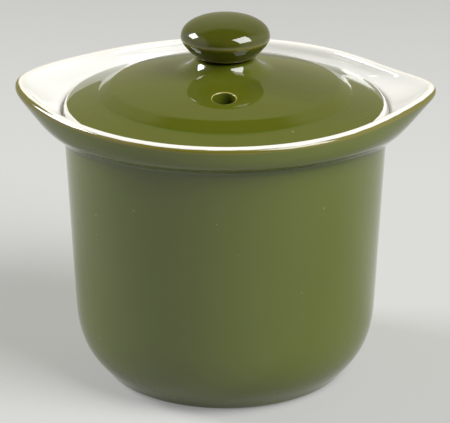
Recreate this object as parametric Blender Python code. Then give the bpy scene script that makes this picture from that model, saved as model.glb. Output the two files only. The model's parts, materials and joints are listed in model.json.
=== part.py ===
"""A small glazed stoneware marmite: a footed pot with two lug handles, and a loose lid with a knob.

Metres, +Z up. The origin is the middle of the foot, on the table. The lugs reach out along X,
and the vent hole in the lid faces the front, along -Y.
"""

import math

import bmesh
import bpy
from mathutils import Vector

# The pot's body, measured outside
RIM_HEIGHT = 0.0888            # plane of the rim above the table, at front and back
BODY_RADIUS = 0.0487           # at the neck, just under the collar
BODY_TAPER = 0.0025            # how much narrower the wall is where the bottom curve starts
BOTTOM_CURVE_HEIGHT = 0.0251   # height at which the wall starts to curve in
FOOT_INSET = 0.0100            # from the start of the bottom curve in to the edge of the foot
FOOT_ROUND = 0.0022            # rise of the rounded edge of the foot
FOOT_RING_WIDTH = 0.0045       # flat bare ring that the pot stands on
FOOT_RECESS = 0.0008           # depth of the shallow recess inside the foot ring
WALL = 0.0042                  # thickness of the body's wall
FLOOR = 0.0052                 # thickness of the pot's floor

# The collar above the neck, with the ledge that carries the lid
COLLAR_HEIGHT = 0.0090         # from the neck up to the rim
COLLAR_OVERHANG = 0.0053       # how far the rim stands out past the neck
COLLAR_WALL = 0.0034           # thickness of the collar at its rounded rim
COLLAR_DRAFT = 0.0012          # how much the collar's inner face closes in toward the ledge
COLLAR_FLARE = 20.0            # degrees that its underside climbs as it leaves the neck, between the lugs
LEDGE_THICKNESS = 0.0022       # from the neck outside up to the ledge inside
NECK_FILLET = 0.0012           # hollow between the wall and the collar's underside
CORNER_ROUND = 0.0008          # small rounds and fillets on the ledge, the mouth and the lid's flange

# The lugs, drawn out of the rim to left and right
LUG_OVERHANG = 0.0095          # past the rim
LUG_RISE = 0.0021              # tip above the plane of the rim
LUG_ROOT_DROP = 0.0076         # how much lower the underside meets the wall there
LUG_LEAN = 45.0                # degrees that the rim's section leans outward at a lug
RIGHT_LUG_SPREAD = 17.5        # degrees from the tip to where the lug has died away by two thirds
LEFT_LUG_SPREAD = 27.0
RIGHT_ROOT_SPREAD = 25.0       # the same for the drop of the underside
LEFT_ROOT_SPREAD = 32.0
LUG_POWER = 1.65               # fullness of the lug's outline
ROOT_POWER = 1.35
RIM_BREAK = 30.0               # degrees above level where the coloured glaze ends on the rounded rim
BREAK_SHARE = 0.15             # of the lug's lean that the end of the coloured glaze follows

# The lid
SEAT_GAP = 0.0003              # between the lid and the ledge, and between the lid and its knob
BRIM_PLAY = 0.0008             # round the brim, at the foot of the collar's inner face
BRIM_EDGE = 0.0031             # thickness of the brim at its edge
BRIM_ROUND = 0.0020            # round of its upper edge
BRIM_SLOPE = 15.5              # degrees that the brim climbs toward the crown
BRIM_WIDTH = 0.0112            # from the edge in to the crown's own edge
CROWN_EDGE_HEIGHT = 0.0062     # edge of the crown above the seat
CROWN_FOOT = 0.0012            # reach of the soft hollow between that edge and the brim
SHOULDER_REACH = 0.0034        # from the crown's edge in to where its dome starts
SHOULDER_DROP = 0.0009         # how far the edge lies below the dome, if that went on
CROWN_CURVE = 0.125            # radius of the dome
LID_WALL = 0.0038              # thickness of the crown
FLANGE_PLAY = 0.0008           # round the flange, inside the mouth
FLANGE_WALL = 0.0042           # thickness of the flange that centres the lid
FLANGE_DEPTH = 0.0036          # below the seat

# The vent hole through the crown
VENT_RADIUS = 0.00345
VENT_OFFSET = 0.0221           # from the middle of the lid
VENT_TURN = 2.0                # degrees to the right of the front
CUT_OVERRUN = 0.002

# The knob, formed by itself and fixed on the boss in the middle of the crown
WAIST_RADIUS = 0.0089
BOSS_REACH = 0.0070            # from the waist out to where the boss's flare meets the crown
BOSS_RISE = 0.0047             # waist above that point
KNOB_RADIUS = 0.0134
KNOB_UNDERSIDE = 0.0060        # from the waist up to the widest ring
KNOB_EDGE_ROUND = 0.0014       # reach of the round that ends the straight underside
KNOB_DOME = 0.0064             # from the widest ring up to the top
KNOB_POWER = 2.2               # fullness of the dome: 2 is an ellipse

# How the curves are drawn: shares of the distances that they span
BOTTOM_LOW_SHARE = 0.28        # pull of the bottom curve where it leaves the foot
BOTTOM_HIGH_SHARE = 0.62       # and where it meets the straight wall
FOOT_ANGLE = 48.0              # degrees above level at which it leaves the foot
UNDER_SHARE = 0.5              # pull at both ends of the collar's underside
LUG_UNDER_SHARE = 0.3          # the same under a lug's tip, which is straighter
COLLAR_SHARE = 0.33            # pull at both ends of the collar's inner face
FLOOR_FLAT_SHARE = 0.5         # of the bottom's radius that the floor inside is flat for
FLOOR_PULL_SHARE = 0.75
KNOB_PULL_SHARE = 0.6          # pull of the knob's underside, which keeps it straight
BOSS_LOW_SHARE = 0.45          # pull of the boss's flare where it leaves the crown
BOSS_HIGH_SHARE = 0.20         # and at the waist
WAIST_SLOPE = 68.0             # degrees by which the flare climbs there
HOLLOW_SHARES = (0.3, 0.6, 0.85)     # rings of the lid's underside, from the middle to the flange
CROWN_SHARES = (0.75, 0.5, 0.25)     # rings of the crown, from its edge to the boss
HOLLOW_PULL_SHARE = 0.36       # pull at both ends of the soft hollow below the crown's edge
SHOULDER_LOW_SHARE = 0.7       # pull of the crown's shoulder at the crown's edge, which keeps it straight
SHOULDER_HIGH_SHARE = 0.15     # and at the dome
CROWN_DROP = 30.0              # degrees by which the shoulder falls at the crown's edge

# Counts
POT_SEGMENTS = 72
LID_SEGMENTS = 48
KNOB_SEGMENTS = 36
VENT_SEGMENTS = 32
KNOB_DOME_STEPS = 9
SHARP_ANGLE = 40.0             # degrees

# Heights and radii that follow from these
NECK_HEIGHT = RIM_HEIGHT - COLLAR_HEIGHT
LEDGE_HEIGHT = NECK_HEIGHT + LEDGE_THICKNESS
RIM_RADIUS = BODY_RADIUS + COLLAR_OVERHANG
COLLAR_INSIDE = RIM_RADIUS - COLLAR_WALL - COLLAR_DRAFT
BOTTOM_RADIUS = BODY_RADIUS - BODY_TAPER
FOOT_RADIUS = BOTTOM_RADIUS - FOOT_INSET
MOUTH_RADIUS = BODY_RADIUS - WALL
SEAT_HEIGHT = LEDGE_HEIGHT + SEAT_GAP
BRIM_RADIUS = COLLAR_INSIDE - BRIM_PLAY
CROWN_RADIUS = BRIM_RADIUS - BRIM_WIDTH
FLANGE_RADIUS = MOUTH_RADIUS - FLANGE_PLAY
FLANGE_INSIDE = FLANGE_RADIUS - FLANGE_WALL

OUTSIDE, INSIDE = 0, 1         # material indices of the coloured and the white glaze


def glaze(name, colour, roughness):
    material = bpy.data.materials.new(name)
    material.use_nodes = True
    surface = material.node_tree.nodes["Principled BSDF"]
    surface.inputs["Base Color"].default_value = (*colour, 1.0)
    surface.inputs["Roughness"].default_value = roughness
    surface.inputs["Metallic"].default_value = 0.0
    material.diffuse_color = (*colour, 1.0)
    return material


def arc(middle, radius, start, end, steps):
    """Points of an arc in the plane of radius and height. 0 degrees points outward and 90 up."""
    points = []
    for step in range(steps + 1):
        angle = math.radians(start + (end - start) * step / steps)
        points.append((middle[0] + radius * math.cos(angle), middle[1] + radius * math.sin(angle)))
    return points


def curve(start, leave, arrive, end, steps):
    """Points of a cubic curve from start to end, pulled toward leave and arrive."""
    points = []
    for step in range(steps + 1):
        t = step / steps
        weights = ((1 - t) ** 3, 3 * t * (1 - t) ** 2, 3 * t * t * (1 - t), t ** 3)
        points.append(tuple(
            sum(w * p[axis] for w, p in zip(weights, (start, leave, arrive, end))) for axis in (0, 1)
        ))
    return points


def beyond(point, degrees, distance):
    """The point at that distance and direction in the plane of radius and height."""
    angle = math.radians(degrees)
    return (point[0] + distance * math.cos(angle), point[1] + distance * math.sin(angle))


def bell(angle, tip, spread, power):
    """1 at the tip's direction, falling smoothly to 0 away from it. All angles are in degrees."""
    away = abs((angle - tip + 180.0) % 360.0 - 180.0)
    return math.exp(-((away / spread) ** power))


def wall_radius(height):
    """Outer radius of the body's tapered wall."""
    share = (height - BOTTOM_CURVE_HEIGHT) / (NECK_HEIGHT - BOTTOM_CURVE_HEIGHT)
    return BOTTOM_RADIUS + BODY_TAPER * share


def pot_outside(angle):
    """The pot's outside at an angle round it in degrees, from under the foot to the rim's outer edge."""
    lug = bell(angle, 0.0, RIGHT_LUG_SPREAD, LUG_POWER) + bell(angle, 180.0, LEFT_LUG_SPREAD, LUG_POWER)
    root = bell(angle, 0.0, RIGHT_ROOT_SPREAD, ROOT_POWER) + bell(angle, 180.0, LEFT_ROOT_SPREAD, ROOT_POWER)
    foot_inside = FOOT_RADIUS - FOOT_RING_WIDTH
    points = [(0.0, FOOT_RECESS), (foot_inside - FOOT_RECESS, FOOT_RECESS), (foot_inside, 0.0)]
    # The foot's rounded edge runs into the deep curve of the bottom
    edge = (FOOT_RADIUS + FOOT_ROUND, FOOT_ROUND)
    start = (BOTTOM_RADIUS, BOTTOM_CURVE_HEIGHT)
    low = beyond(edge, FOOT_ANGLE + 180.0, FOOT_ROUND / 2)
    points += curve((FOOT_RADIUS, 0.0), (FOOT_RADIUS + FOOT_ROUND / 2, 0.0), low, edge, 2)
    climb = BOTTOM_CURVE_HEIGHT - FOOT_ROUND
    low = beyond(edge, FOOT_ANGLE, climb * BOTTOM_LOW_SHARE)
    high = beyond(start, 270.0, climb * BOTTOM_HIGH_SHARE)
    points += curve(edge, low, high, start, 7)[1:]
    # The straight wall, the fillet of the neck and the collar's underside
    neck_height = NECK_HEIGHT - LUG_ROOT_DROP * root
    lean = LUG_LEAN * lug
    under = COLLAR_FLARE + (LUG_LEAN - COLLAR_FLARE) * root
    neck = (wall_radius(neck_height), neck_height)
    rim_radius = RIM_RADIUS + LUG_OVERHANG * lug
    rim_round = COLLAR_WALL / 2
    rim = (rim_radius - rim_round, RIM_HEIGHT + LUG_RISE * lug - rim_round)
    below = beyond(neck, 270.0, NECK_FILLET)
    outward = beyond(neck, under, NECK_FILLET)
    points += curve((wall_radius(below[1]), below[1]), neck, neck, outward, 2)
    edge = beyond(rim, -lean, rim_round)
    reach = math.dist(outward, edge) * (UNDER_SHARE + (LUG_UNDER_SHARE - UNDER_SHARE) * root)
    points += curve(outward, beyond(outward, under, reach), beyond(edge, 270.0 - lean, reach), edge, 5)[1:]
    return points, rim, lean


def pot_profile(angle):
    """The whole outline of the pot at an angle round it, as (radius, height, material index)."""
    outside, rim, lean = pot_outside(angle)
    rim_round = COLLAR_WALL / 2
    edge_of_glaze = RIM_BREAK - lean * BREAK_SHARE
    glazed = arc(rim, rim_round, -lean, edge_of_glaze, 2)[1:]
    white = arc(rim, rim_round, edge_of_glaze, 180.0 - lean, 4)[1:]
    # The collar's inner face drops to a fillet in the corner of the ledge
    top = white[-1]
    foot = (COLLAR_INSIDE, LEDGE_HEIGHT + CORNER_ROUND)
    reach = math.dist(top, foot) * COLLAR_SHARE
    white += curve(top, beyond(top, 270.0 - lean, reach), beyond(foot, 90.0 - lean, reach), foot, 4)[1:]
    corner = (COLLAR_INSIDE - CORNER_ROUND, LEDGE_HEIGHT)
    white += curve(foot, (COLLAR_INSIDE, LEDGE_HEIGHT), (COLLAR_INSIDE, LEDGE_HEIGHT), corner, 2)[1:]
    # Over the rounded edge of the mouth and down the inside to the floor
    mouth = (MOUTH_RADIUS, LEDGE_HEIGHT)
    edge = (MOUTH_RADIUS + CORNER_ROUND, LEDGE_HEIGHT)
    wall = (MOUTH_RADIUS, LEDGE_HEIGHT - CORNER_ROUND)
    white += curve(edge, mouth, mouth, wall, 2)
    start = (BOTTOM_RADIUS - WALL, BOTTOM_CURVE_HEIGHT)
    floor = (BOTTOM_RADIUS * FLOOR_FLAT_SHARE, FLOOR + FOOT_RECESS)
    reach = (BOTTOM_CURVE_HEIGHT - floor[1]) * FLOOR_PULL_SHARE
    white += curve(start, beyond(start, 270.0, reach), beyond(floor, 0.0, reach), floor, 6)
    white.append((0.0, FLOOR + FOOT_RECESS))
    return [(*p, OUTSIDE) for p in outside + glazed] + [(*p, INSIDE) for p in white]


def crown_height(radius):
    """Height of the crown's dome above the seat."""
    rise = math.sqrt(CROWN_CURVE ** 2 - radius ** 2) - math.sqrt(CROWN_CURVE ** 2 - CROWN_RADIUS ** 2)
    return CROWN_EDGE_HEIGHT + SHOULDER_DROP + rise


def crown_slope(radius):
    """Degrees by which the dome falls outward there."""
    return math.degrees(math.asin(radius / CROWN_CURVE))


def boss_height():
    """Height of the boss's flat top above the seat."""
    return crown_height(WAIST_RADIUS + BOSS_REACH) + BOSS_RISE


def lid_profile(angle):
    """The lid's outline from below, alike at every angle: (radius, height above the seat, material index)."""
    under_crown = crown_height(0.0) - LID_WALL
    hollow_radius = FLANGE_INSIDE - BRIM_EDGE
    hollow = (hollow_radius, crown_height(hollow_radius) - LID_WALL)
    white = [(0.0, under_crown)]
    for share in HOLLOW_SHARES:
        radius = hollow_radius * share
        white.append((radius, crown_height(radius) - LID_WALL))
    inside = (FLANGE_INSIDE, 0.0)
    white += curve(hollow, (FLANGE_INSIDE, hollow[1]), (FLANGE_INSIDE, hollow[1]), inside, 4)
    # Down, round and up the flange, then out along the seat
    for radius, side in ((FLANGE_INSIDE + CORNER_ROUND, 180.0), (FLANGE_RADIUS - CORNER_ROUND, 270.0)):
        white += arc((radius, CORNER_ROUND - FLANGE_DEPTH), CORNER_ROUND, side, side + 90.0, 2)
    white.append((FLANGE_RADIUS, 0.0))
    low = (BRIM_RADIUS - CORNER_ROUND, CORNER_ROUND)
    white += arc(low, CORNER_ROUND, 270.0, 360.0, 2)
    # Round the brim's upper edge, up its slope, through the soft hollow and over the crown's shoulder
    edge = (BRIM_RADIUS - BRIM_ROUND, BRIM_EDGE - BRIM_ROUND)
    green = arc(edge, BRIM_ROUND, 0.0, 90.0 - BRIM_SLOPE, 4)
    climb = math.tan(math.radians(BRIM_SLOPE))
    foot_radius = CROWN_RADIUS + CROWN_FOOT
    brim_foot = (foot_radius, green[-1][1] + (green[-1][0] - foot_radius) * climb)
    low = beyond(brim_foot, 180.0 - BRIM_SLOPE, CROWN_FOOT * HOLLOW_PULL_SHARE)
    brow = (CROWN_RADIUS, CROWN_EDGE_HEIGHT)
    high = beyond(brow, -CROWN_DROP, CROWN_FOOT * HOLLOW_PULL_SHARE)
    green += curve(brim_foot, low, high, brow, 3)
    low = beyond(brow, 180.0 - CROWN_DROP, SHOULDER_REACH * SHOULDER_LOW_SHARE)
    dome_radius = CROWN_RADIUS - SHOULDER_REACH
    dome = (dome_radius, crown_height(dome_radius))
    high = beyond(dome, -crown_slope(dome_radius), SHOULDER_REACH * SHOULDER_HIGH_SHARE)
    green += curve(brow, low, high, dome, 5)[1:]
    # Over the dome to the boss's flare, and up that to the waist
    flare_radius = WAIST_RADIUS + BOSS_REACH
    for share in CROWN_SHARES:
        radius = flare_radius + (dome_radius - flare_radius) * share
        green.append((radius, crown_height(radius)))
    flare = (flare_radius, crown_height(flare_radius))
    waist = (WAIST_RADIUS, boss_height())
    length = math.dist(flare, waist)
    low = beyond(flare, 180.0 - crown_slope(flare_radius), length * BOSS_LOW_SHARE)
    high = beyond(waist, -WAIST_SLOPE, length * BOSS_HIGH_SHARE)
    green += curve(flare, low, high, waist, 8)
    green.append((0.0, boss_height()))
    return [(*p, INSIDE) for p in white] + [(*p, OUTSIDE) for p in green]


def knob_profile(angle):
    """The knob's outline, the same at every angle: (radius, height above its flat base, material index)."""
    waist = (WAIST_RADIUS, 0.0)
    widest = (KNOB_RADIUS, KNOB_UNDERSIDE)
    below = (KNOB_RADIUS, KNOB_UNDERSIDE - KNOB_EDGE_ROUND)
    straight = [(1 - KNOB_PULL_SHARE) * a + KNOB_PULL_SHARE * b for a, b in zip(waist, below)]
    points = [(0.0, 0.0)]
    points += curve(waist, straight, below, widest, 8)
    for step in range(1, KNOB_DOME_STEPS):
        turn = math.pi / 2 * step / KNOB_DOME_STEPS
        radius = KNOB_RADIUS * math.cos(turn) ** (2 / KNOB_POWER)
        points.append((radius, KNOB_UNDERSIDE + KNOB_DOME * math.sin(turn) ** (2 / KNOB_POWER)))
    points.append((0.0, KNOB_UNDERSIDE + KNOB_DOME))
    return [(*p, OUTSIDE) for p in points]


def turned(name, profile_at, segments, materials):
    """A closed body round the Z axis. profile_at(degrees) runs from one point on the axis to another."""
    shape = bmesh.new()
    profiles = [profile_at(360.0 * step / segments) for step in range(segments)]
    first, last = profiles[0][0], profiles[0][-1]
    poles = [shape.verts.new((0.0, 0.0, end[1])) for end in (first, last)]
    columns = []
    for step, profile in enumerate(profiles):
        turn = 2 * math.pi * step / segments
        column = [poles[0]]
        for radius, height, _ in profile[1:-1]:
            column.append(shape.verts.new((radius * math.cos(turn), radius * math.sin(turn), height)))
        column.append(poles[1])
        columns.append(column)
    for step, column in enumerate(columns):
        following = columns[(step + 1) % segments]
        for row in range(len(column) - 1):
            corners = [column[row], following[row], following[row + 1], column[row + 1]]
            face = shape.faces.new(list(dict.fromkeys(corners)))
            face.material_index = profiles[0][row + 1][2]
    bmesh.ops.recalc_face_normals(shape, faces=shape.faces)
    mesh = bpy.data.meshes.new(name)
    shape.to_mesh(mesh)
    shape.free()
    for material in materials:
        mesh.materials.append(material)
    mesh.shade_smooth()
    mesh.set_sharp_from_angle(angle=math.radians(SHARP_ANGLE))
    placed = bpy.data.objects.new(name, mesh)
    bpy.context.collection.objects.link(placed)
    return placed


def vent_cutter():
    """The cylinder that opens the vent, from below the crown to above it, in the lid's own frame."""
    top = crown_height(0.0) + CUT_OVERRUN
    bottom = crown_height(VENT_OFFSET + VENT_RADIUS) - LID_WALL - CUT_OVERRUN
    turn = math.radians(VENT_TURN)
    bpy.ops.mesh.primitive_cylinder_add(
        vertices=VENT_SEGMENTS,
        radius=VENT_RADIUS,
        depth=top - bottom,
        location=(VENT_OFFSET * math.sin(turn), -VENT_OFFSET * math.cos(turn), (top + bottom) / 2),
    )
    cutter = bpy.context.object
    cutter.name = "vent_cutter"
    cutter.display_type = "WIRE"
    cutter.hide_render = True
    return cutter


def main():
    for item in list(bpy.data.objects):
        bpy.data.objects.remove(item, do_unlink=True)

    white = glaze("white_glaze", (0.83, 0.80, 0.73), 0.12)
    pot = turned("pot", pot_profile, POT_SEGMENTS, [glaze("pot_glaze", (0.105, 0.125, 0.034), 0.10), white])

    lid = turned("lid", lid_profile, LID_SEGMENTS, [glaze("lid_glaze", (0.115, 0.130, 0.030), 0.10), white])
    lid.location = Vector((0.0, 0.0, SEAT_HEIGHT))
    cutter = vent_cutter()
    cutter.parent = lid
    vent = lid.modifiers.new("vent", "BOOLEAN")
    vent.operation = "DIFFERENCE"
    vent.solver = "EXACT"
    vent.object = cutter

    knob = turned("lid_knob", knob_profile, KNOB_SEGMENTS, [glaze("knob_glaze", (0.110, 0.125, 0.028), 0.08)])
    knob.location = Vector((0.0, 0.0, boss_height() + SEAT_GAP))
    knob.parent = lid

    # The lid is lifted straight up off the ledge, along the axis that its origin lies on
    lid.parent = pot


main()
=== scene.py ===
# %% [markdown]
# # A small stoneware marmite
# This notebook dresses a plain model of a one-portion pot: a footed body with two lug handles drawn
# out of its rim, and a loose lid with a knob. The plain model already has the right sizes, so nothing
# here moves it. Each piece gets a smooth skin of its own, and glazes that behave as fired glaze does.

# %% Load the fixed frame
import json
import math

import bmesh
import bpy
import numpy as np
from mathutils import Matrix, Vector

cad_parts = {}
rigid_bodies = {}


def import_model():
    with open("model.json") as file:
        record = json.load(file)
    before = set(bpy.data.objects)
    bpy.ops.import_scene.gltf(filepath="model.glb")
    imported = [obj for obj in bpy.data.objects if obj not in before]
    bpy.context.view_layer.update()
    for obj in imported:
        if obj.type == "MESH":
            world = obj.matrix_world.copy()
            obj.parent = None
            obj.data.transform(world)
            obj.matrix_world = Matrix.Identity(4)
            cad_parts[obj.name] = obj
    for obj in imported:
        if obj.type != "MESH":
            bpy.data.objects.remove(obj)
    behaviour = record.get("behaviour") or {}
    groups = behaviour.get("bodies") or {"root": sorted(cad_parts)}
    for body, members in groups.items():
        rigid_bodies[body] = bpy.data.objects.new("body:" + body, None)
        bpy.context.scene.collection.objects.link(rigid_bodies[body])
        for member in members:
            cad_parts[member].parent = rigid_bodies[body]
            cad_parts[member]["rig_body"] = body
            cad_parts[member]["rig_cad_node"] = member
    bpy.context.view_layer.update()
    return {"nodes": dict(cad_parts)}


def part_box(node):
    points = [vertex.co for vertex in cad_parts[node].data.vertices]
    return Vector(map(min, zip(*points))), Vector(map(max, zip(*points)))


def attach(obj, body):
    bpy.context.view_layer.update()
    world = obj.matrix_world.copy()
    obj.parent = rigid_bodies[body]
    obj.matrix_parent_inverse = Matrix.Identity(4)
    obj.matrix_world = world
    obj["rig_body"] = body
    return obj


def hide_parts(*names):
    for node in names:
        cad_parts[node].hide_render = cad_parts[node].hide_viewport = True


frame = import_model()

MM = 0.001

# %% [markdown]
# ## The camera
# The pot was photographed from a little above, with a long lens that keeps its sides nearly parallel.
# The camera comes first, because every later choice is judged through it. It aims at the middle of the
# pot, so it needs no shift.

# %% Camera
VIEW_TURN = math.radians(3.0)
VIEW_RISE = math.radians(18.3)
VIEW_DISTANCE = 0.75
RIM_PLANE = 0.088
VIEW_AIM = Vector((-0.0001, 0.0, 0.0493))
LONG_LENS = 200

camera_data = bpy.data.cameras.new("camera")
camera_data.lens = LONG_LENS
camera_data.clip_end = 20
camera = bpy.data.objects.new("camera", camera_data)
bpy.context.scene.collection.objects.link(camera)
camera.location = (
    VIEW_DISTANCE * math.sin(VIEW_TURN) * math.cos(VIEW_RISE),
    -VIEW_DISTANCE * math.cos(VIEW_TURN) * math.cos(VIEW_RISE),
    VIEW_DISTANCE * math.sin(VIEW_RISE) + RIM_PLANE,
)
camera.rotation_euler = (VIEW_AIM - camera.location).to_track_quat("-Z", "Y").to_euler()
bpy.context.scene.camera = camera
print("camera at", [round(c, 3) for c in camera.location])

# %% [markdown]
# ## Helpers for the operators
# An operator works on whatever is selected, and the frame arrives selected. So every step starts from
# nothing, picks one piece, and says which vertices, edges or faces it wants by their place.

# %% Selection helpers
def only(piece):
    """Select one piece and nothing else."""
    bpy.ops.object.select_all(action="DESELECT")
    piece.select_set(True)
    bpy.context.view_layer.objects.active = piece


def pick(piece, wanted, kind="VERT"):
    """In edit mode, select the vertices, edges or faces for which wanted(element) is true."""
    bpy.ops.mesh.select_mode(type=kind)
    bpy.ops.mesh.select_all(action="DESELECT")
    mesh = bmesh.from_edit_mesh(piece.data)
    for element in {"VERT": mesh.verts, "EDGE": mesh.edges, "FACE": mesh.faces}[kind]:
        element.select = bool(wanted(element))
    mesh.select_flush_mode()
    bmesh.update_edit_mesh(piece.data)


def apply_modifier(piece, kind, **settings):
    """Add a modifier with these settings and make it part of the mesh."""
    only(piece)
    modifier = piece.modifiers.new(kind.lower(), kind)
    for key, value in settings.items():
        setattr(modifier, key, value)
    bpy.ops.object.modifier_apply(modifier=modifier.name)


# %% [markdown]
# ## Skins from the frame
# The frame's solids have the true outline but are made of loose flat triangles, which a gloss glaze
# would show as a mirror ball. A copy is welded, its triangles are paired back into the rings and
# columns of a thrown pot, and a subdivision surface rounds it. The frame itself stays as it was.

# %% Copy, weld and pair
TINY = 0.01 * MM
PAIR_FOLD = math.radians(60)       # most that the two triangles of a pair may be folded
PAIR_SKEW = math.radians(70)       # most that their four-sided face may be out of square


def welded_copy(node, name):
    """A copy of a frame node as one welded mesh of mostly four-sided faces."""
    only(frame["nodes"][node])
    bpy.ops.object.duplicate()
    piece = bpy.context.object
    piece.name = name
    piece.data.name = name
    bpy.ops.object.parent_clear(type="CLEAR_KEEP_TRANSFORM")
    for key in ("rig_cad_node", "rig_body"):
        if key in piece:
            del piece[key]
    bpy.ops.object.mode_set(mode="EDIT")
    bpy.ops.mesh.select_all(action="SELECT")
    bpy.ops.mesh.remove_doubles(threshold=TINY)
    bpy.ops.mesh.customdata_custom_splitnormals_clear()
    bpy.ops.mesh.tris_convert_to_quads(
        face_threshold=PAIR_FOLD, shape_threshold=PAIR_SKEW, topology_influence=1.0
    )
    bpy.ops.object.mode_set(mode="OBJECT")
    piece.data.materials.clear()
    return piece


# %% [markdown]
# ## The pot
# On the real pot the body and the collar are formed in one, and the two lugs are drawn out of the soft
# rim, so body, collar and lugs are one skin. Two levels of subdivision give faces of about a
# millimetre, fine enough for a clean highlight along the rim.

# %% Pot skin
pot_skin = welded_copy("pot", "pot_skin")
four_sided = sum(len(face.vertices) == 4 for face in pot_skin.data.polygons)
print("pot:", four_sided, "of", len(pot_skin.data.polygons), "faces have four sides")
apply_modifier(pot_skin, "SUBSURF", levels=2, render_levels=2)

# %% [markdown]
# Glaze fills the narrow corner under the collar, so there it is rounder than the clay below it. The
# vertices of that hollow are found by their bend, and a few passes of smoothing open it up.

# %% Soften the neck
NECK_LOW, NECK_HIGH = 60 * MM, 84 * MM
NECK_BEND = -0.03                  # per millimetre: the corner bends at least as sharply as this
NECK_PASSES = 5


def bend(vert):
    """Bend of the surface at a vertex, per millimetre: below zero in a hollow."""
    total = 0.0
    for edge in vert.link_edges:
        other = edge.other_vert(vert)
        step = other.co - vert.co
        total += (other.normal - vert.normal).dot(step) / step.length_squared
    return total / len(vert.link_edges) * MM


def in_neck(vert):
    """True in the hollow corner on the outside, and not on the ledge inside."""
    outward = vert.normal.x * vert.co.x + vert.normal.y * vert.co.y > 0
    return outward and NECK_LOW < vert.co.z < NECK_HIGH and bend(vert) < NECK_BEND


only(pot_skin)
bpy.ops.object.mode_set(mode="EDIT")
pick(pot_skin, in_neck)
picked = sum(vert.select for vert in bmesh.from_edit_mesh(pot_skin.data).verts)
bpy.ops.mesh.vertices_smooth(factor=0.5, repeat=NECK_PASSES)
bpy.ops.object.mode_set(mode="OBJECT")
print("neck:", picked, "vertices smoothed")

# %% Hang the pot's skin on its body
only(pot_skin)
bpy.ops.object.shade_smooth()
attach(pot_skin, "pot")
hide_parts("pot")
print("pot skin:", len(pot_skin.data.polygons), "faces")

# %% [markdown]
# ## The lid
# The lid is a pure turned shape with one hole. So it is turned again: the copy is cut down to the one
# column of vertices that lies on +X, which is the lid's outline, and a spin sweeps that outline round.
# The vent is cut afterwards, through fine faces.

# %% Lid outline
def keep_outline(piece):
    """Cut a turned piece down to its outline: the column of vertices that lies on +X."""
    only(piece)
    bpy.ops.object.mode_set(mode="EDIT")
    pick(piece, lambda vert: vert.co.x < -TINY or abs(vert.co.y) > TINY)
    bpy.ops.mesh.delete(type="VERT")
    bpy.ops.object.mode_set(mode="OBJECT")
    print(piece.name, "outline:", len(piece.data.vertices), "points")


lid_skin = welded_copy("lid", "lid_skin")
keep_outline(lid_skin)

# %% Spin the outline
LID_STEPS = 96


def spin_outline(piece, steps):
    """Turn an outline into a closed skin with its faces pointing out, and fill a flat end."""
    only(piece)
    bpy.ops.object.mode_set(mode="EDIT")
    bpy.ops.mesh.select_all(action="SELECT")
    bpy.ops.mesh.spin(steps=steps, angle=2 * math.pi, center=(0, 0, 0), axis=(0, 0, 1))
    bpy.ops.mesh.select_all(action="SELECT")
    bpy.ops.mesh.remove_doubles(threshold=TINY)
    bpy.ops.mesh.fill_holes(sides=0)
    bpy.ops.mesh.normals_make_consistent(inside=False)
    bpy.ops.object.mode_set(mode="OBJECT")


spin_outline(lid_skin, LID_STEPS)
apply_modifier(lid_skin, "SUBSURF", levels=1, render_levels=1)
print("lid skin:", len(lid_skin.data.polygons), "faces")

# %% [markdown]
# ## The vent
# A hole near the knob lets steam out. The drill is wider than the vent and leaves two clean round
# edges, one in each shell of the crown. Its straight wall is taken out again. Each edge is then drawn
# in by a few extrusions that follow a quarter circle, which makes the soft lip, and the two lips are
# bridged by the vent's true wall.

# %% Open the vent
VENT_RADIUS = 3.45 * MM
VENT_OFFSET = 22.1 * MM            # from the middle of the lid
VENT_TURN = math.radians(2)        # to the right of the front
VENT_X = VENT_OFFSET * math.sin(VENT_TURN)
VENT_Y = -VENT_OFFSET * math.cos(VENT_TURN)
VENT_LIP = 0.35 * MM
HOLE_RADIUS = VENT_RADIUS + 2 * VENT_LIP
DRILL_LENGTH = 20 * MM


def from_vent(point):
    """Distance of a point from the vent's upright axis."""
    return math.hypot(point.x - VENT_X, point.y - VENT_Y)


only(lid_skin)
vent_top = lid_skin.ray_cast(Vector((VENT_X, VENT_Y, 1.0)), Vector((0, 0, -1)))[1].z
bpy.ops.mesh.primitive_cylinder_add(
    vertices=64, radius=HOLE_RADIUS, depth=DRILL_LENGTH, location=(VENT_X, VENT_Y, vent_top)
)
drill = bpy.context.object
apply_modifier(lid_skin, "BOOLEAN", operation="DIFFERENCE", solver="EXACT", object=drill)
bpy.data.objects.remove(drill, do_unlink=True)
print("crown at the vent:", round(vent_top / MM, 2), "mm above the table")

# %% Take out the drill's wall
CROWN_WALL = 3.8 * MM


def on_drill(vert):
    """True on the round edge that the drill left in a shell."""
    return abs(from_vent(vert.co) - HOLE_RADIUS) < 2 * TINY


def is_drilled_wall(face):
    return abs(face.normal.z) < 0.5 and all(on_drill(vert) for vert in face.verts)


def is_open(edge):
    return edge.is_boundary


only(lid_skin)
bpy.ops.object.mode_set(mode="EDIT")
pick(lid_skin, is_drilled_wall, "FACE")
bpy.ops.mesh.delete(type="FACE")

# %% Round the lips and bridge them
LIP_STEPS = 4
EDGE_REACH = 2 * MM                # a drilled edge in a sloping shell rises and falls less than this


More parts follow.
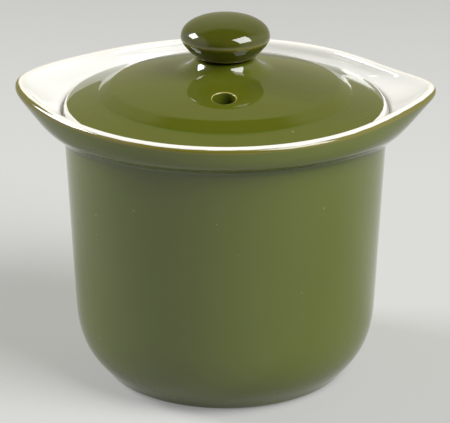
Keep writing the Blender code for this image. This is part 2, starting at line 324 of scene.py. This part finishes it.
def draw_in_lip(edge_height, downward):
    """Draw the drilled edge near that height in to the vent. Downward is 1 on top and -1 below."""

    def on_this_edge(edge):
        near = all(abs(vert.co.z - edge_height) < EDGE_REACH for vert in edge.verts)
        return edge.is_boundary and near and all(on_drill(vert) for vert in edge.verts)

    pick(lid_skin, on_this_edge, "EDGE")
    radius, sunk = HOLE_RADIUS, 0.0
    for step in range(LIP_STEPS + 1):
        turn = math.radians(90) * step / LIP_STEPS
        next_radius = VENT_RADIUS + VENT_LIP * (1 - math.sin(turn))
        next_sunk = VENT_LIP * (1 - math.cos(turn))
        share = next_radius / radius
        pivot = (VENT_X, VENT_Y, edge_height - downward * sunk)
        bpy.ops.mesh.extrude_region()
        bpy.ops.transform.resize(value=(share, share, share), center_override=pivot)
        bpy.ops.transform.translate(value=(0, 0, downward * (sunk - next_sunk)))
        radius, sunk = next_radius, next_sunk


draw_in_lip(vent_top, 1)
draw_in_lip(vent_top - CROWN_WALL, -1)
pick(lid_skin, is_open, "EDGE")
bpy.ops.mesh.bridge_edge_loops()
bpy.ops.mesh.select_all(action="SELECT")
bpy.ops.mesh.normals_make_consistent(inside=False)
pick(lid_skin, is_open, "EDGE")
open_edges = sum(edge.select for edge in bmesh.from_edit_mesh(lid_skin.data).edges)
bpy.ops.object.mode_set(mode="OBJECT")

# %% Hang the lid's skin on its body
only(lid_skin)
bpy.ops.object.shade_smooth()
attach(lid_skin, "lid")
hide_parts("lid")
print("lid skin with vent:", len(lid_skin.data.polygons), "faces,", open_edges, "open edges")

# %% [markdown]
# ## The knob
# The knob was formed by itself and set on the lid's boss with slip, and the glaze then closed the
# joint. The skin is turned from the frame's outline like the lid's, and its foot is let down over the
# hairline gap, so that no line shows at the waist.

# %% Knob skin
KNOB_STEPS = 72
JOINT_LINE = 0.28 * MM

knob_skin = welded_copy("lid_knob", "knob_skin")
keep_outline(knob_skin)
knob_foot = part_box("lid_knob")[0].z
bpy.ops.object.mode_set(mode="EDIT")
pick(knob_skin, lambda vert: vert.co.z < knob_foot + TINY)
bpy.ops.transform.translate(value=(0, 0, -JOINT_LINE))
bpy.ops.object.mode_set(mode="OBJECT")
spin_outline(knob_skin, KNOB_STEPS)
apply_modifier(knob_skin, "SUBSURF", levels=2, render_levels=2)
only(knob_skin)
bpy.ops.object.shade_smooth()
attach(knob_skin, "lid")
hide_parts("lid_knob")
print("knob skin:", len(knob_skin.data.polygons), "faces")

# %% [markdown]
# ## Where the glaze is thin and where it pools
# Molten glaze creeps off sharp edges and gathers in hollows. That follows the curve of the surface, so
# it is measured once on each skin and kept as a vertex attribute: `crest` is above zero on outward
# curves, such as the rim, and below zero in hollows, such as the neck. A second attribute, `facing`,
# is the angle round the section: 0 is outward, 90 is up. It tells the outside from the inside.

# %% Measure crest and facing
BEYOND_ANY_BEND = 9.0


def measure(piece, smooth_passes):
    """Write the attributes crest, per millimetre, and facing, in degrees, on every vertex."""
    mesh = piece.data
    count = len(mesh.vertices)
    place = np.empty(count * 3)
    mesh.vertices.foreach_get("co", place)
    place = place.reshape(-1, 3)
    normal = np.array([vector.vector[:] for vector in mesh.vertex_normals])
    ends = np.empty(len(mesh.edges) * 2, dtype=int)
    mesh.edges.foreach_get("vertices", ends)
    first, second = ends.reshape(-1, 2).T

    # The sharpest bend of the edges at each vertex, outward or inward, then evened out.
    step = place[second] - place[first]
    length_squared = np.maximum((step ** 2).sum(1), 1e-12)
    edge_bend = ((normal[second] - normal[first]) * step).sum(1) / length_squared * MM
    highest = np.full(count, -BEYOND_ANY_BEND)
    lowest = np.full(count, BEYOND_ANY_BEND)
    for end in (first, second):
        np.maximum.at(highest, end, edge_bend)
        np.minimum.at(lowest, end, edge_bend)
    crest = np.where(highest > -lowest, highest, lowest)
    neighbours = np.bincount(ends, minlength=count)
    for _ in range(smooth_passes):
        total = np.bincount(first, crest[second], count) + np.bincount(second, crest[first], count)
        crest = 0.5 * crest + 0.5 * total / np.maximum(neighbours, 1)

    # The angle runs on past 180 degrees inside, so that it never jumps on a face that looks inward.
    radius = np.maximum(np.hypot(place[:, 0], place[:, 1]), 1e-9)
    outward = (normal[:, 0] * place[:, 0] + normal[:, 1] * place[:, 1]) / radius
    facing = np.degrees(np.arctan2(normal[:, 2], outward))
    facing = np.where(facing < -91.0, facing + 360.0, facing)
    for name, values in (("crest", crest), ("facing", facing)):
        attribute = mesh.attributes.new(name, "FLOAT", "POINT")
        attribute.data.foreach_set("value", values.astype(np.float32))
    print(piece.name, "crest %.2f to %.2f per mm" % (crest.min(), crest.max()))


for skin, smooth_passes in ((pot_skin, 6), (lid_skin, 3), (knob_skin, 3)):
    measure(skin, smooth_passes)

# %% [markdown]
# The lid is dipped in white up to its brim, so its underside and flange are white while its top is
# green, and so is the wall of the vent. Neither height nor facing alone tells the sides apart, so the
# side is worked out here, vertex by vertex.

# %% Which side of the lid
SEAT_HEIGHT = 82.3 * MM            # the flat ring below the brim
SEAT_REACH = 0.4 * MM              # the white climbs this far above it
LOOKS_DOWN, LOOKS_IN = -5.0, 110.0
VENT_SKIN = 0.05 * MM
GREEN_DEPTH = 2.5 * MM             # how deep the green runs round the vent, below the crown's top


def mark_lining(piece):
    """Attribute `lining`: 1 on the lid's underside and flange, 0 on its top and in the vent."""
    values = []
    for vert, facing in zip(piece.data.vertices, piece.data.attributes["facing"].data):
        under = not LOOKS_DOWN <= facing.value <= LOOKS_IN or vert.co.z < SEAT_HEIGHT + SEAT_REACH
        away = from_vent(vert.co)
        on_wall = away < VENT_RADIUS + VENT_SKIN
        on_lip = away < HOLE_RADIUS and vert.co.z > vent_top - GREEN_DEPTH
        values.append(1.0 if under and not (on_wall or on_lip) else 0.0)
    piece.data.attributes.new("lining", "FLOAT", "POINT").data.foreach_set("value", values)
    print(piece.name, "lined with white:", int(sum(values)), "of", len(values), "vertices")


mark_lining(lid_skin)

# %% [markdown]
# ## Node helpers
# Materials are built in code with a few small helpers, so that each graph below reads from left to
# right like a recipe.

# %% Helpers that add a node
def add(tree, kind, inputs=None, **settings):
    """Add a node, set its properties, then wire or set its inputs by name or number."""
    node = tree.nodes.new(kind)
    for key, value in settings.items():
        setattr(node, key, value)
    for key, value in (inputs or {}).items():
        if isinstance(value, bpy.types.NodeSocket):
            tree.links.new(value, node.inputs[key])
        else:
            node.inputs[key].default_value = value
    return node


def maths(tree, operation, *values):
    """One Math node on numbers or sockets."""
    return add(tree, "ShaderNodeMath", dict(enumerate(values)), operation=operation).outputs[0]


def ramp(tree, value, low, high, to_low=0.0, to_high=1.0):
    """A smooth step: to_low at low and below, to_high at high and above."""
    limits = {"Value": value, "From Min": low, "From Max": high, "To Min": to_low, "To Max": to_high}
    return add(tree, "ShaderNodeMapRange", limits, interpolation_type="SMOOTHSTEP").outputs["Result"]


def grey(tree, level):
    """A grey of that level."""
    return add(tree, "ShaderNodeCombineColor", {0: level, 1: level, 2: level}).outputs[0]


def blend_colours(tree, share, first, second, mode="MIX"):
    """The second colour over the first, by that share."""
    node = add(tree, "ShaderNodeMix", data_type="RGBA", blend_type=mode)
    for socket, value in ((node.inputs[0], share), (node.inputs[6], first), (node.inputs[7], second)):
        if isinstance(value, bpy.types.NodeSocket):
            tree.links.new(value, socket)
        else:
            socket.default_value = value if isinstance(value, float) else (*value, 1.0)
    return node.outputs[2]


# %% Helpers that read the piece
def where_on(tree):
    """The place on the piece, in metres."""
    return add(tree, "ShaderNodeTexCoord").outputs["Object"]


def three_numbers(tree, vector):
    return add(tree, "ShaderNodeSeparateXYZ", {0: vector}).outputs


def distance_out(tree, x, y):
    """The length of the level arrow (x, y)."""
    arrow = add(tree, "ShaderNodeCombineXYZ", {0: x, 1: y}).outputs[0]
    return add(tree, "ShaderNodeVectorMath", {0: arrow}, operation="LENGTH").outputs["Value"]


def measured(tree, name):
    """One of the vertex attributes."""
    return add(tree, "ShaderNodeAttribute", attribute_name=name).outputs["Fac"]


def noise(tree, where, scale, detail):
    node = add(tree, "ShaderNodeTexNoise", {"Vector": where, "Scale": scale, "Detail": detail})
    return node.outputs["Fac"]


# %% Helpers for groups of nodes
NUMBER, COLOUR = "NodeSocketFloat", "NodeSocketColor"


def new_group(name, inputs, outputs):
    """A shader node group whose input sockets are given as name: (type, default)."""
    tree = bpy.data.node_groups.new(name, "ShaderNodeTree")
    for label, (kind, default) in inputs.items():
        socket = tree.interface.new_socket(label, in_out="INPUT", socket_type=kind)
        socket.default_value = default
    for label, kind in outputs.items():
        tree.interface.new_socket(label, in_out="OUTPUT", socket_type=kind)
    return tree, tree.nodes.new("NodeGroupInput").outputs, tree.nodes.new("NodeGroupOutput").inputs


def use(tree, group, **values):
    """Place a group in a material with its own values."""
    node = tree.nodes.new("ShaderNodeGroup")
    node.node_tree = group
    for label, value in values.items():
        node.inputs[label].default_value = (*value, 1.0) if isinstance(value, tuple) else value
    return node.outputs


# %% [markdown]
# ## Glaze depth, shared by all three skins
# One group turns `crest` into colour: the thin colour on edges, the deep colour in hollows and the
# glaze's own colour between, with a slow mottle that fired glaze always has.

# %% Glaze depth group
THIN_FROM, THIN_FULL = 0.12, 0.75        # crest, per millimetre
DEEP_FROM, DEEP_FULL = -0.08, -0.5
EDGE_WANDER = 0.22


def build_glaze_depth():
    tree, given, out = new_group(
        "glaze_depth",
        {
            "Colour": (COLOUR, (0.1, 0.12, 0.03, 1.0)),
            "Thin": (COLOUR, (0.3, 0.25, 0.03, 1.0)),
            "Deep": (COLOUR, (0.05, 0.07, 0.02, 1.0)),
            "Mottle": (NUMBER, 0.06),
        },
        {"Colour": COLOUR},
    )
    crest = measured(tree, "crest")
    where = where_on(tree)
    wander = noise(tree, where, 260.0, 3.0)
    shift = maths(tree, "MULTIPLY_ADD", wander, EDGE_WANDER, -EDGE_WANDER / 2)
    thin = ramp(tree, maths(tree, "ADD", crest, shift), THIN_FROM, THIN_FULL)
    deep = ramp(tree, crest, DEEP_FROM, DEEP_FULL)
    cloud = maths(tree, "ADD", noise(tree, where, 38.0, 4.0), -0.5)
    light = maths(tree, "ADD", maths(tree, "MULTIPLY", cloud, given["Mottle"]), 1.0)
    colour = blend_colours(tree, deep, given["Colour"], given["Deep"])
    colour = blend_colours(tree, thin, colour, given["Thin"])
    tree.links.new(blend_colours(tree, 1.0, colour, grey(tree, light), "MULTIPLY"), out["Colour"])
    return tree


glaze_depth = build_glaze_depth()


# %% [markdown]
# ## Specks
# Stoneware bodies and kiln dust leave a few pinhead specks in a glaze. A Voronoi texture scatters
# cells, only a small share of the cells gets a speck, and the speck is a soft dot in the middle.

# %% Speck group
def build_specks():
    tree, given, out = new_group(
        "specks",
        {"Scale": (NUMBER, 300.0), "Share": (NUMBER, 0.05), "Size": (NUMBER, 0.16)},
        {"Mask": NUMBER},
    )
    grid = {"Vector": where_on(tree), "Scale": given["Scale"]}
    cells = add(tree, "ShaderNodeTexVoronoi", grid).outputs
    dice = add(tree, "ShaderNodeSeparateColor", {0: cells["Color"]}).outputs[0]
    chosen = maths(tree, "LESS_THAN", dice, given["Share"])
    dot = ramp(tree, maths(tree, "DIVIDE", cells["Distance"], given["Size"]), 1.0, 0.5)
    tree.links.new(maths(tree, "MULTIPLY", dot, chosen), out["Mask"])
    return tree


specks = build_specks()


# %% [markdown]
# ## The skin of the glaze
# A fired gloss glaze is never optically flat. It carries the faint rings that the turning left under
# it and a very slow orange peel. Both are a tenth of a millimetre deep or less, and only reflections
# show them, so they are one height value for a Bump node.

# %% Surface group
def build_glaze_surface():
    tree, given, out = new_group(
        "glaze_surface",
        {"Rings": (NUMBER, 0.3), "Peel": (NUMBER, 0.5)},
        {"Height": NUMBER},
    )
    where = where_on(tree)
    height_only = add(tree, "ShaderNodeCombineXYZ", {2: three_numbers(tree, where)[2]}).outputs[0]
    rings = maths(tree, "MULTIPLY", noise(tree, height_only, 420.0, 2.0), given["Rings"])
    height = maths(tree, "MULTIPLY_ADD", noise(tree, where, 160.0, 2.0), given["Peel"], rings)
    tree.links.new(height, out["Height"])
    return tree


glaze_surface = build_glaze_surface()


# %% [markdown]
# ## The glazes
# Olive green covers the outside, and a warm white lines the inside. One function makes all three
# glazes: it lays the specks over the green, and the white over both where a piece asks for it. The
# gloss comes from a low roughness on a plain ceramic shader, never from painted light.

# %% Glaze material
GREEN = (0.094, 0.118, 0.010)
GREEN_THIN = (0.160, 0.140, 0.020)
GREEN_DEEP = (0.070, 0.092, 0.008)
PALE_SPECK = (0.22, 0.24, 0.09)
WHITE = (0.78, 0.776, 0.748)
WHITE_THIN = (0.76, 0.735, 0.685)
GREEN_MOTTLE, WHITE_MOTTLE = 0.10, 0.03
GLOSS = 0.06
GLAZE_IOR = 1.62
BUMP_SHARE, BUMP_HEIGHT = 0.035, 0.3 * MM


def glaze(name, green=GREEN, thin=GREEN_THIN, speck_share=0.008, white_side=None):
    """A gloss green. white_side(tree) gives the mask of the part that is white instead."""
    material = bpy.data.materials.new(name)
    material.use_nodes = True
    tree = material.node_tree
    shader = tree.nodes["Principled BSDF"].inputs
    depth = use(tree, glaze_depth, Colour=green, Thin=thin, Deep=GREEN_DEEP, Mottle=GREEN_MOTTLE)
    pale = use(tree, specks, Scale=330.0, Share=speck_share, Size=0.12)
    colour = blend_colours(tree, pale["Mask"], depth["Colour"], PALE_SPECK)
    if white_side is not None:
        white = use(tree, glaze_depth, Colour=WHITE, Thin=WHITE_THIN, Deep=WHITE, Mottle=WHITE_MOTTLE)
        colour = blend_colours(tree, white_side(tree), colour, white["Colour"])
    tree.links.new(colour, shader["Base Color"])
    height = use(tree, glaze_surface, Rings=0.35, Peel=0.4)["Height"]
    bump = {"Height": height, "Strength": BUMP_SHARE, "Distance": BUMP_HEIGHT}
    tree.links.new(add(tree, "ShaderNodeBump", bump).outputs[0], shader["Normal"])
    shader["Roughness"].default_value = GLOSS
    shader["IOR"].default_value = GLAZE_IOR
    return material


# %% [markdown]
# Each piece says by itself where it is white. The `facing` angle decides, and a little noise makes the
# line waver as a dipped edge does. On the pot the white begins on top of the rim, and higher up at the
# left lug, where the green was dipped a little deeper. On the lid the brim's outer edge is white too.

# %% Where the white begins
WAVER = 10.0                             # degrees
POT_GREEN_ENDS, POT_WHITE_FULL = 44.0, 50.0
LUG_DEEPER = 24.0                        # degrees that the white begins higher up at the left lug
LUG_FROM, LUG_FULL = -46 * MM, -54 * MM
LID_GREEN_ENDS, LID_WHITE_FULL = 65.0, 59.0
BRIM_FROM, BRIM_FULL = 44.5 * MM, 45.5 * MM


def wavering_facing(tree, where):
    """The facing angle with a soft noise."""
    shift = maths(tree, "MULTIPLY_ADD", noise(tree, where, 180.0, 2.0), WAVER, -WAVER / 2)
    return maths(tree, "ADD", shift, measured(tree, "facing"))


def pot_white(tree):
    where = where_on(tree)
    deeper = ramp(tree, three_numbers(tree, where)[0], LUG_FROM, LUG_FULL, 0.0, LUG_DEEPER)
    angle = maths(tree, "SUBTRACT", wavering_facing(tree, where), deeper)
    return ramp(tree, angle, POT_GREEN_ENDS, POT_WHITE_FULL)


def lid_white(tree):
    where = where_on(tree)
    x, y, _ = three_numbers(tree, where)
    edge = ramp(tree, wavering_facing(tree, where), LID_GREEN_ENDS, LID_WHITE_FULL)
    edge = maths(tree, "MULTIPLY", edge, ramp(tree, distance_out(tree, x, y), BRIM_FROM, BRIM_FULL))
    return maths(tree, "MAXIMUM", edge, ramp(tree, measured(tree, "lining"), 0.4, 0.6))


# %% [markdown]
# ## Glaze the pieces
# The pot stands on a ring that was wiped bare before the firing, so that the kiln shelf couldn't stick
# to it. On the lid the glaze runs thin and yellow round the sharp lip of the vent. Both are laid over
# the finished glaze by their place on the piece.

# %% Glaze the pot
BARE_CLAY = (0.62, 0.52, 0.40)
BARE_ROUGHNESS = 0.85
BARE_FROM, BARE_FULL = 0.6 * MM, 0.3 * MM        # above the table


def recolour(material, mask, colour):
    """Lay a colour over a finished glaze, where the mask is 1."""
    tree = material.node_tree
    base = tree.nodes["Principled BSDF"].inputs["Base Color"]
    tree.links.new(blend_colours(tree, mask, base.links[0].from_socket, colour), base)


pot_glaze = glaze("pot_glaze", speck_share=0.035, white_side=pot_white)
pot_nodes = pot_glaze.node_tree
bare = ramp(pot_nodes, three_numbers(pot_nodes, where_on(pot_nodes))[2], BARE_FROM, BARE_FULL)
recolour(pot_glaze, bare, BARE_CLAY)
dull = ramp(pot_nodes, bare, 0.0, 1.0, GLOSS, BARE_ROUGHNESS)
pot_nodes.links.new(dull, pot_nodes.nodes["Principled BSDF"].inputs["Roughness"])
pot_skin.data.materials.append(pot_glaze)

# %% Glaze the lid and the knob
# Painted shade: the lid and the knob get the pot's green glaze made darker, and the knob darker still.
LID_SHADED_GREEN = (0.078, 0.090, 0.006)
KNOB_SHADED_GREEN = (0.054, 0.061, 0.004)
RING_YELLOW = (0.36, 0.31, 0.09)
RING_INSIDE = VENT_RADIUS + 0.02 * MM, VENT_RADIUS + 0.08 * MM
RING_OUTSIDE = VENT_RADIUS + 0.40 * MM, VENT_RADIUS + 0.22 * MM

lid_glaze = glaze("lid_glaze", LID_SHADED_GREEN, thin=LID_SHADED_GREEN, white_side=lid_white)
lid_nodes = lid_glaze.node_tree
lid_x, lid_y, _ = three_numbers(lid_nodes, where_on(lid_nodes))
vent_dx = maths(lid_nodes, "ADD", lid_x, -VENT_X)
vent_dy = maths(lid_nodes, "ADD", lid_y, -VENT_Y)
away = distance_out(lid_nodes, vent_dx, vent_dy)
ring_inside = ramp(lid_nodes, away, *RING_INSIDE)
ring_outside = ramp(lid_nodes, away, *RING_OUTSIDE)
ring = maths(lid_nodes, "MULTIPLY", ring_inside, ring_outside)
recolour(lid_glaze, ring, RING_YELLOW)
lid_skin.data.materials.append(lid_glaze)
knob_skin.data.materials.append(glaze("knob_glaze", KNOB_SHADED_GREEN))
print("materials:", [material.name for material in bpy.data.materials if material.users])

# %% [markdown]
# ## Floor
# The pot stands on a sweep of pale grey card, painted darker a little into the distance as a painted
# falloff of light. The card glows faintly for the camera and for reflections alone, which lifts the
# background without putting any more light on the pot.

# %% Floor
CARD_GREY = (0.335, 0.336, 0.328)
CARD_GLOW, CARD_GLOW_TINT = 0.216, (1.0, 1.0, 0.98, 1.0)
FADE_FROM, FADE_FULL, FADE_TO = 0.15, 0.60, 0.77     # metres behind the pot, and the share left there
FLOOR_DROP = 0.2 * MM

bpy.ops.mesh.primitive_plane_add(size=8, location=(0, 0, -FLOOR_DROP))
floor = bpy.context.object
floor.name = "floor"
card = bpy.data.materials.new("grey_card")
card.use_nodes = True
card_nodes = card.node_tree
card_shader = card_nodes.nodes["Principled BSDF"].inputs
behind = three_numbers(card_nodes, where_on(card_nodes))[1]
# Painted falloff of light: the card's colour and glow darken further behind the pot.
painted_falloff = ramp(card_nodes, behind, FADE_FROM, FADE_FULL, 1.0, FADE_TO)
pale_card = blend_colours(card_nodes, 1.0, grey(card_nodes, painted_falloff), CARD_GREY, "MULTIPLY")
card_nodes.links.new(pale_card, card_shader["Base Color"])
card_shader["Roughness"].default_value = 0.9
card_shader["Specular IOR Level"].default_value = 0.1
path = add(card_nodes, "ShaderNodeLightPath").outputs
seen = maths(card_nodes, "MAXIMUM", path["Is Camera Ray"], path["Is Glossy Ray"])
glow = maths(card_nodes, "MULTIPLY", maths(card_nodes, "MULTIPLY", seen, CARD_GLOW), painted_falloff)
card_shader["Emission Color"].default_value = CARD_GLOW_TINT
card_nodes.links.new(glow, card_shader["Emission Strength"])
floor.data.materials.append(card)

# %% [markdown]
# ## Lamps
# A large soft light stands to the right, and a smaller, weaker one to the left and a little behind. The
# gloss shows the lamps as they are, so their size and place matter as much as their strength.

# %% Lamps
MIDDLE = Vector((0.0, 0.0, 0.06))
LAMP_DISTANCE = 2.6


def soft_light(name, turn, rise, width, height, watts):
    """A soft lamp. Turn is degrees to the right of the viewer, and rise is degrees above level."""
    data = bpy.data.lights.new(name, "AREA")
    data.shape = "RECTANGLE"
    data.size = width
    data.size_y = height
    data.energy = watts
    lamp = bpy.data.objects.new(name, data)
    bpy.context.scene.collection.objects.link(lamp)
    turn, rise = math.radians(turn), math.radians(rise)
    flat = LAMP_DISTANCE * math.cos(rise)
    lamp.location = (
        flat * math.sin(turn),
        -flat * math.cos(turn),
        LAMP_DISTANCE * math.sin(rise) + MIDDLE.z,
    )
    lamp.rotation_euler = (MIDDLE - lamp.location).to_track_quat("-Z", "Y").to_euler()
    print("lamp", name, "at", [round(c, 2) for c in lamp.location])


soft_light("key", 60, 43, width=1.6, height=1.75, watts=94.0)
soft_light("fill", -104, 31, width=1.0, height=1.0, watts=58.0)

# %% [markdown]
# ## The room
# The rest of the studio is dim: dark overhead and behind the viewer, a warm grey beyond the pot, and
# paler walls at both sides. The glaze mirrors that, which gives the knob its dark front and its grey
# top, and warms the lid, where the wall beyond the pot is mirrored.

# %% Room
BACK_WALL, SIDE_WALLS, DARK = 0.44, 0.58, 0.02
WARM = (1.08, 1.02, 0.72)
PLAIN = (1.0, 1.0, 1.0)

world = bpy.data.worlds.new("room")
bpy.context.scene.world = world
world.use_nodes = True
room = world.node_tree
direction = add(room, "ShaderNodeTexCoord").outputs["Generated"]
sideways, away_from_viewer, upward = three_numbers(room, direction)
back = ramp(room, away_from_viewer, 0.05, 0.5, DARK, BACK_WALL)
side = ramp(room, maths(room, "ABSOLUTE", sideways), 0.5, 0.85, 0.0, SIDE_WALLS)
ceiling = ramp(room, upward, 0.80, 0.93, 1.0, 0.0)


def lit(level, tint):
    """A wall of that level, dark overhead, times a tint."""
    level = maths(room, "MULTIPLY", level, ceiling)
    return blend_colours(room, 1.0, grey(room, level), tint, "MULTIPLY")


walls = blend_colours(room, 1.0, lit(back, WARM), lit(side, PLAIN), "LIGHTEN")
walls = blend_colours(room, 1.0, walls, (DARK, DARK, DARK), "LIGHTEN")
room.links.new(walls, room.nodes["Background"].inputs["Color"])
room.nodes["Background"].inputs["Strength"].default_value = 1.0
bpy.context.scene.view_settings.view_transform = "Standard"
